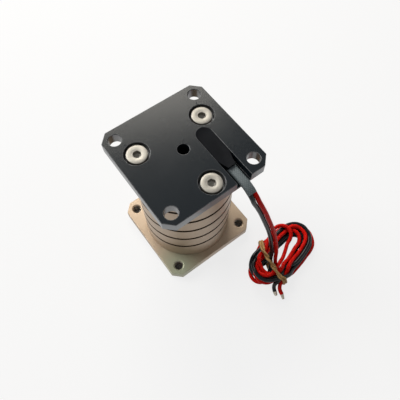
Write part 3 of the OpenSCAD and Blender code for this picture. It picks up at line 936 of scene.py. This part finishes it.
def slot_tool(end_x, low, high, finish):
    """Slot with a round end, from its inner end to end_x."""
    slot = rod(SLOT_W / 2, low, high, (SLOT_END_X, SLOT_Y), 64, finish)
    run = block((SLOT_END_X, SLOT_Y - SLOT_W / 2, low), (end_x, SLOT_Y + SLOT_W / 2, high), finish)
    carve(slot, [run], "UNION")
    return slot


def plate_hole(radius, at, finish, low=PLATE_BOTTOM - PAST):
    """Tool for a hole that is open at the top of the plate."""
    return rod(radius, low, PLATE_TOP + PAST, at, finish=finish)


plate = cut_corner_plate(
    "drive_plate", PLATE_SIZE, PLATE_CHAMFER, PLATE_BOTTOM, PLATE_TOP, anodised, milled_side)
carve(plate, [rod(SPIGOT_R, plate_low.z, PLATE_BOTTOM + PAST, finish=anodised)], "UNION")
plate_tools = [plate_hole(HOLE_R, at, drilled_wall) for at in CORNERS]
plate_tools += [plate_hole(HOLE_R, at, anodised) for at in SCREW_PLACES]
plate_tools += [plate_hole(COUNTERBORE_R, at, drilled_wall, SEAT) for at in SCREW_PLACES]
plate_tools += [plate_hole(MIDDLE_HOLE_R, (0.0, 0.0), anodised, plate_low.z - PAST)]
plate_tools += [
    rod(TAIL_HOLE_R, PLATE_BOTTOM - PAST, SLOT_FLOOR + PAST / 2, (SLOT_END_X, SLOT_Y), finish=anodised)]
plate_tools += [slot_tool(PLATE_SIZE / 2 + PAST, SLOT_FLOOR, PLATE_TOP + PAST, anodised)]
carve(plate, plate_tools)
plate.data.materials.append(plate_edge)
edge_index = len(plate.data.materials) - 1
soften(plate, 0.18, edge_finish=edge_index)
# The strips along upright edges were milled with the sides, so they get the sides' finish
upright = plate.data.materials.find(milled_side.name)
for face in plate.data.polygons:
    if face.material_index == edge_index and abs(face.normal.z) < 0.3:
        face.material_index = upright
print("Plate:", len(plate.data.polygons), "faces")

# %% [markdown]
# ## The screws
#
# Low-head screws are turned from bar, so their head is a shape spun round the screw's axis: a flat
# top, a small chamfer at the rim and a shank. The hexagon socket is then cut into it. Each point
# remembers how far it is from its own screw's axis, and the finish draws the turning rings from that.

# %% Screws
def turned(name, profile, finish, segments=72):
    """Solid spun from a half-profile of radius and height, in millimetres."""
    bm = bmesh.new()
    verts = [bm.verts.new((r, 0.0, z)) for r, z in profile]
    edges = [bm.edges.new(pair) for pair in zip(verts, verts[1:])]
    bmesh.ops.spin(
        bm, geom=verts + edges, cent=(0, 0, 0), axis=(0, 0, 1), angle=math.tau, steps=segments,
        use_merge=True)
    return piece_from(bm, name, finish)


def hexagon(across_flats, low, high, finish):
    return rod(across_flats / 2 / math.cos(math.pi / 6), low, high, segments=6, finish=finish)


def screw_set(name, one, places, flip=False):
    """One piece with a copy of the screw at each place, given as x, y, z in millimetres."""
    rings = one.data.attributes.new("from_axis", "FLOAT", "POINT")
    rings.data.foreach_set("value", [math.hypot(v.co.x, v.co.y) for v in one.data.vertices])
    joined = bmesh.new()
    for x, y, z in places:
        copy = one.data.copy()
        if flip:
            copy.transform(Matrix.Rotation(math.pi, 4, "X"))
        copy.transform(Matrix.Translation(Vector((x, y, z)) * MM))
        joined.from_mesh(copy)
        bpy.data.meshes.remove(copy)
    mesh = bpy.data.meshes.new(name)
    joined.to_mesh(mesh)
    joined.free()
    mesh.shade_smooth()
    mesh.set_sharp_from_angle(angle=math.radians(35))
    bpy.data.objects.remove(one)
    return link_piece(name, mesh, turned_steel)


HEAD_R, HEAD_H, SHANK_R, SHANK_L, SOCKET = 3.5, 2.8, 2.0, 6.0, 2.5


def low_head_screw():
    """Low-head socket screw, its head resting on z = 0."""
    profile = [
        (0, HEAD_H - 0.06), (1.7, HEAD_H - 0.06), (1.85, HEAD_H), (HEAD_R - 0.3, HEAD_H),
        (HEAD_R - 0.08, HEAD_H - 0.1), (HEAD_R, HEAD_H - 0.32), (HEAD_R, 0.1), (HEAD_R - 0.1, 0),
        (SHANK_R, 0), (SHANK_R, 0.4 - SHANK_L), (SHANK_R - 0.4, -SHANK_L), (0, -SHANK_L),
    ]
    screw = turned("screw", profile, turned_steel)
    dimple = rod(0.0, HEAD_H - 2.2, HEAD_H - 1.55, top_radius=1.3, finish=turned_steel)
    mouth = rod(1.3, HEAD_H - 0.2, HEAD_H + 0.3, top_radius=1.8, finish=turned_steel)
    carve(screw, [hexagon(SOCKET, HEAD_H - 1.6, HEAD_H + 1, turned_steel), dimple, mouth])
    return screw


def countersunk_screw():
    """Countersunk socket screw, its flat face at z = 0 and its shank running up."""
    profile = [(0, 0), (2.75, 0), (2.8, 0.06), (1.5, 1.3), (1.5, 6.4), (1.2, 6.75), (0, 6.75)]
    screw = turned("screw", profile, turned_steel)
    carve(screw, [hexagon(SOCKET, -1, 1.35, turned_steel)])
    return screw


YOKE_SCREW_CIRCLE, YOKE_SCREW_SEAT = 6.0, 0.25
YOKE_SCREW_PLACES = around(YOKE_SCREW_CIRCLE, (60, 180, 300))
plate_seats = [(x, y, SEAT) for x, y in SCREW_PLACES]
base_seats = [(x, y, COUNTERBORE_H) for x, y in SCREW_PLACES]
yoke_seats = [(x, y, YOKE_SCREW_SEAT) for x, y in YOKE_SCREW_PLACES]
plate_screws = screw_set("plate_screw_set", low_head_screw(), plate_seats)
base_screws = screw_set("base_screw_set", low_head_screw(), base_seats, flip=True)
yoke_screws = screw_set("yoke_screw_set", countersunk_screw(), yoke_seats)
print("Screws:", len(plate_seats) + len(base_seats) + len(yoke_seats))

# %% [markdown]
# ## The machined spring
#
# The tube is a bored rod, and a thin rectangle is screwed down round its axis to make the cutter: spin
# with a step of travel along the axis gives a helix. The cutter goes right through the wall and its
# ends stop short of the tube's ends. Behind the slit the wall is bored out, which makes the spring
# softer, and only the ends are thick enough for the screws. The slit's edges get the same painted
# shade as its walls.

# %% Machined spring
SPRING_R, BORE_R, THIN_WALL, END_H = spring_high.x, 12.0, 3.0, 6.1
SLIT_W, SLIT_PITCH, SLIT_TOP, SLIT_TURNS = 1.2, 7.9, 46.0, 266 / 60
SLIT_TOP_ANGLE = math.radians(-20)
SLIT_STEPS_PER_TURN = 90


def slit_tool():
    bm = bmesh.new()
    inner, outer, half = BORE_R - PAST, SPRING_R + PAST, SLIT_W / 2
    corners = [(inner, -half), (outer, -half), (outer, half), (inner, half)]
    start = bm.faces.new([bm.verts.new((r, 0.0, SLIT_TOP + z)) for r, z in corners])
    bmesh.ops.rotate(bm, matrix=Matrix.Rotation(SLIT_TOP_ANGLE, 3, "Z"), verts=bm.verts)
    bmesh.ops.spin(
        bm, geom=[start], cent=(0, 0, 0), axis=(0, 0, 1), dvec=(0, 0, -SLIT_PITCH / SLIT_STEPS_PER_TURN),
        angle=-math.tau * SLIT_TURNS, steps=round(SLIT_TURNS * SLIT_STEPS_PER_TURN))
    # The cutter's faces become the slit's walls, which carry the dark brown painted shade
    return piece_from(bm, "slit", slit_shade_wall)


SCREW_HOLE_R, SCREW_HOLE_H = 2.05, 5.6
TUBE_SIDES, BORE_SIDES = 180, 120

low, high = spring_low.z, PLATE_BOTTOM
spring = rod(SPRING_R, low, high, segments=TUBE_SIDES, finish=chromated)
spring.name = "slit_tube_spring"
spring_tools = [rod(BORE_R, low - PAST, high + PAST, segments=BORE_SIDES, finish=chromated), slit_tool()]
spring_tools += [rod(SPRING_R - THIN_WALL, low + END_H, high - END_H, segments=BORE_SIDES, finish=chromated)]
for bottom, top in ((high - SCREW_HOLE_H, high + PAST), (low - PAST, low + SCREW_HOLE_H)):
    spring_tools += [rod(SCREW_HOLE_R, bottom, top, at, 32, chromated) for at in SCREW_PLACES]
carve(spring, spring_tools)
# The slit's walls and bevelled edges carry the dark brown painted shade of the narrow cut
slit_shade_edge = spring.data.materials.find(slit_shade_wall.name)
tube_side = spring.data.materials.find(chromated.name)
soften(spring, 0.14, edge_finish=slit_shade_edge)
# The cut leaves hairlines on the tube, and strips there that face straight out get the tube's finish, not the
# painted shade of the slit's edges
for face in spring.data.polygons:
    outwards = face.center.xy.normalized()
    if face.material_index == slit_shade_edge and face.normal.xy.dot(outwards) > 0.95:
        face.material_index = tube_side
print("Spring:", len(spring.data.polygons), "faces")

# %% [markdown]
# ## The flange
#
# The flange has nearly the plate's outline. Its corner holes are tapped, so each has a countersunk
# mouth that leads the screw in from above.

# %% Flange
FLANGE_TOP = flange_high.z
TAPPED_R = 1.65
MOUTH = {"radius": 1.4, "top_radius": 2.4, "low": FLANGE_TOP - 0.7, "high": FLANGE_TOP + 0.3}
YOKE_HOLE_R, COUNTERSINK_R, COUNTERSINK_H = 1.75, 4.05, 1.3


def flange_hole(radius, at, high=FLANGE_TOP + PAST, finish=stained, top_radius=None):
    """Tool for a hole that is open at the underside of the flange."""
    return rod(radius, -PAST, high, at, finish=finish, top_radius=top_radius)


flange = cut_corner_plate(
    "base_plate", flange_high.x - flange_low.x, FLANGE_CHAMFER, 0.0, FLANGE_TOP, stained)
flange_tools = [flange_hole(TAPPED_R, at, finish=tapped_wall) for at in CORNERS]
flange_tools += [rod(at=at, finish=stained, **MOUTH) for at in CORNERS]
flange_tools += [flange_hole(HOLE_R, at) for at in SCREW_PLACES]
flange_tools += [flange_hole(COUNTERBORE_R, at, COUNTERBORE_H) for at in SCREW_PLACES]
for at in YOKE_SCREW_PLACES:
    flange_tools += [flange_hole(YOKE_HOLE_R, at)]
    flange_tools += [flange_hole(COUNTERSINK_R, at, COUNTERSINK_H, top_radius=YOKE_HOLE_R)]
carve(flange, flange_tools)
soften(flange, 0.2)
print("Flange:", len(flange.data.polygons), "faces")

# %% [markdown]
# ## Potting and sleeve
#
# Black resin fills the inner part of the slot. It was poured, so its surface climbs a little at the
# walls and sinks in the middle. The grey sleeve comes out of it: an oval tube, swept straight along
# the slot and then round a bend by spin, with a wall so that its open end shows the leads inside.

# %% Potting
POTTING_END_X, POTTING_TOP = 13.8, PLATE_TOP - 0.1
CLIMB_W, CLIMB_H = 0.5, 0.12
potting = slot_tool(POTTING_END_X, SLOT_FLOOR, POTTING_TOP, black_potting)
potting.name = "slot_resin"
FAR_SIDE = [(8.0, 11.7), (11.0, 10.8), (14.5, 9.7), (14.5, 11.7)]
NEAR_SIDE = [(9.5, 5.8), (14.5, 5.8), (14.5, 7.5), (12.0, 6.6)]
far_side, near_side = (
    prism(outline, SLOT_FLOOR - PAST, PLATE_TOP, black_potting) for outline in (FAR_SIDE, NEAR_SIDE))
carve(potting, [far_side, near_side])
bm = bmesh.new()
bm.from_mesh(potting.data)
bmesh.ops.dissolve_limit(bm, angle_limit=math.radians(1), verts=bm.verts, edges=bm.edges)
surface = [f for f in bm.faces if f.normal.z > 0.9]
bmesh.ops.inset_region(bm, faces=surface, thickness=CLIMB_W * MM, depth=-CLIMB_H * MM, use_even_offset=True)
bm.to_mesh(potting.data)
bm.free()
potting.data.shade_smooth()
potting.data.set_sharp_from_angle(angle=math.radians(40))
print("Potting:", len(potting.data.polygons), "faces")

# %% Sleeve
SLEEVE_W, SLEEVE_H, SLEEVE_WALL = 3.3, 2.0, 0.12
SLEEVE_START_X, SLEEVE_BEND_X, SLEEVE_STEPS = 10.3, 19.5, 18
SLEEVE_BEND_R, SLEEVE_BEND_ANGLE, SLEEVE_BEND_STEPS = 8.0, math.radians(34), 12
SLEEVE_Z = SLOT_FLOOR + SLEEVE_H / 2

bm = bmesh.new()
bmesh.ops.create_circle(bm, cap_ends=False, segments=40, radius=SLEEVE_H / 2)
for vert in bm.verts:
    vert.co.y += math.copysign((SLEEVE_W - SLEEVE_H) / 2, vert.co.y) if abs(vert.co.y) > 0.01 else 0.0
bmesh.ops.rotate(bm, matrix=Matrix.Rotation(math.pi / 2, 3, "Y"), verts=bm.verts)
bmesh.ops.translate(bm, vec=(SLEEVE_START_X, SLOT_Y, SLEEVE_Z), verts=bm.verts)
ring = list(bm.edges)
for step in range(SLEEVE_STEPS):
    swept = bmesh.ops.extrude_edge_only(bm, edges=ring)["geom"]
    moved = [v for v in swept if isinstance(v, bmesh.types.BMVert)]
    ring = [e for e in swept if isinstance(e, bmesh.types.BMEdge) and all(v in moved for v in e.verts)]
    bmesh.ops.translate(bm, vec=((SLEEVE_BEND_X - SLEEVE_START_X) / SLEEVE_STEPS, 0, 0), verts=moved)
bmesh.ops.spin(
    bm, geom=ring, cent=(SLEEVE_BEND_X, SLOT_Y, SLEEVE_Z - SLEEVE_BEND_R), axis=(0, 1, 0),
    angle=SLEEVE_BEND_ANGLE, steps=SLEEVE_BEND_STEPS)
sleeve = piece_from(bm, "woven_sleeve", sleeve_finish)
wall = sleeve.modifiers.new("wall", "SOLIDIFY")
wall.thickness = SLEEVE_WALL * MM
wall.offset = -1
settle(sleeve)
sleeve.data.shade_smooth()
sleeve.data.set_sharp_from_angle(angle=math.radians(50))
print("Sleeve:", len(sleeve.data.polygons), "faces")

# %% [markdown]
# ## Every piece on its body
#
# The plate and what hangs from it ride on the coil head. The flange and what stands on it ride on the
# base. The spring and the falling leads join both; they are not attached to either body and stay
# where they are drawn.

# %% Bodies
RIDES = [
    (plate, "coil_head", ["coil_plate"], "black_anodised"),
    (plate_screws, "coil_head", ["plate_screws"], "screw_steel"),
    (potting, "coil_head", ["slot_potting"], "black_potting"),
    (sleeve, "coil_head", ["lead_sleeve"], "grey_sleeve"),
    (flange, "base", ["base_flange"], "chromated_aluminium"),
    (base_screws, "base", ["base_screws"], "screw_steel"),
    (yoke_screws, "base", ["yoke_screws"], "screw_steel"),
    (band, "base", ["rubber_band"], "band_rubber"),
    (red_end, "base", ["red_tip"], "tinned_copper"),
    (black_end, "base", ["black_tip"], "tinned_copper"),
]
for piece, body, nodes, slot in RIDES:
    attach(piece, body)
    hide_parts(*nodes)

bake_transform(spring)
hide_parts("machined_spring")
WIRES = [(red_wire, "red_lead", "red_insulation"), (black_wire, "black_lead", "black_insulation")]
for wire, node_name, slot in WIRES:
    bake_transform(wire)
    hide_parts(node_name, "wire_bundle")
print("Pieces that ride:", len(RIDES), "and pieces that flex:", len(WIRES) + 1)

# %% [markdown]
# ## Floor and light
#
# The motor stands on a plain pale floor. A large soft light from the left models the tube, a second
# one beyond the far edge gives the plate its soft sheen, and the pale world fills the shadows. Their
# level is set so that a white card on the floor in front of the motor would come out just white.

# %% Floor
FLOOR_SEEN, FLOOR_SHED, FLOOR_GLOW = colour(0.15, 0.15, 0.15), colour(0.34, 0.28, 0.22), 0.78
FLOOR_SIZE = 1500
# Where the floor comes out from under the flange: at its sides and at its cut corners, in metres
SIDE_EDGE, CORNER_EDGE = (0.019, 0.0195), (0.0352, 0.0358)


def seen_directly(tree):
    """1 where the camera sees a surface, straight or in a mirror or glass, and 0 for the light it sheds."""
    path = add_node(tree, "ShaderNodeLightPath").outputs
    mirrored = arithmetic(tree, "MAXIMUM", path["Is Camera Ray"], path["Is Glossy Ray"])
    return arithmetic(tree, "MAXIMUM", mirrored, path["Is Transmission Ray"])


def past(tree, distance, edge):
    """0 before the edge and 1 past it."""
    made = add_node(tree, "ShaderNodeMapRange", Value=distance, From_Min=edge[0], From_Max=edge[1])
    return made.outputs["Result"]


def make_floor_finish():
    made, tree, shader = new_finish("pale floor", 0.9, specular=0.0)
    seen = seen_directly(tree)
    paint(tree, shader, mix_colours(tree, seen, FLOOR_SHED, FLOOR_SEEN))
    shader.inputs["Emission Color"].default_value = colour(1.0, 1.0, 1.0)
    place = add_node(tree, "ShaderNodeSeparateXYZ", Vector=object_place(tree)).outputs
    aside = [arithmetic(tree, "ABSOLUTE", place[axis]) for axis in "XY"]
    past_sides = past(tree, arithmetic(tree, "MAXIMUM", *aside), SIDE_EDGE)
    past_corners = past(tree, arithmetic(tree, "ADD", *aside), CORNER_EDGE)
    in_the_open = arithmetic(tree, "MAXIMUM", past_sides, past_corners)
    glow = arithmetic(tree, "MULTIPLY", between(tree, seen, 0.0, FLOOR_GLOW), in_the_open)
    tree.links.new(glow, shader.inputs["Emission Strength"])
    return made


bm = bmesh.new()
bmesh.ops.create_grid(bm, x_segments=1, y_segments=1, size=FLOOR_SIZE)
floor = piece_from(bm, "floor", make_floor_finish())
print("Floor: staged")

# %% Light
def softbox(name, place, aim, size, power, tint):
    light = bpy.data.lights.new(name, "AREA")
    light.shape = "RECTANGLE"
    light.size, light.size_y = size
    light.energy = power
    light.color = tint
    made = bpy.data.objects.new(name, light)
    made.location = place
    made.rotation_mode = "QUATERNION"
    made.rotation_quaternion = (Vector(aim) - Vector(place)).to_track_quat("-Z", "Y")
    bpy.context.collection.objects.link(made)
    return made


softbox("left light", (-0.74, -0.40, 0.72), (0.0, 0.0, 0.03), (0.6, 0.6), 9.5, (1.0, 0.985, 0.96))
softbox("far light", (-0.37, 0.14, 0.37), (-0.01, 0.0, 0.05), (0.30, 0.24), 1.7, (1.0, 0.95, 0.86))
print("Lights:", len(bpy.data.lights))

# %% World
WORLD_SHED, WORLD_HORIZON, WORLD_OVERHEAD = 0.22, 0.92, 0.48

world = bpy.data.worlds.new("pale room")
world.use_nodes = True
bpy.context.scene.world = world
room = world.node_tree
direction = add_node(room, "ShaderNodeTexCoord").outputs["Generated"]
rise = add_node(room, "ShaderNodeSeparateXYZ", Vector=direction).outputs["Z"]
shown = add_node(
    room, "ShaderNodeMapRange", Value=rise, From_Max=0.7, To_Min=WORLD_HORIZON, To_Max=WORLD_OVERHEAD)
level = add_node(
    room, "ShaderNodeMapRange", Value=seen_directly(room), To_Min=WORLD_SHED, To_Max=shown.outputs["Result"])
room.links.new(level.outputs["Result"], room.nodes["Background"].inputs["Strength"])
room.nodes["Background"].inputs["Color"].default_value = colour(1.0, 1.0, 1.0)
print("World:", WORLD_HORIZON, "at the horizon and", WORLD_OVERHEAD, "overhead, where it is seen")
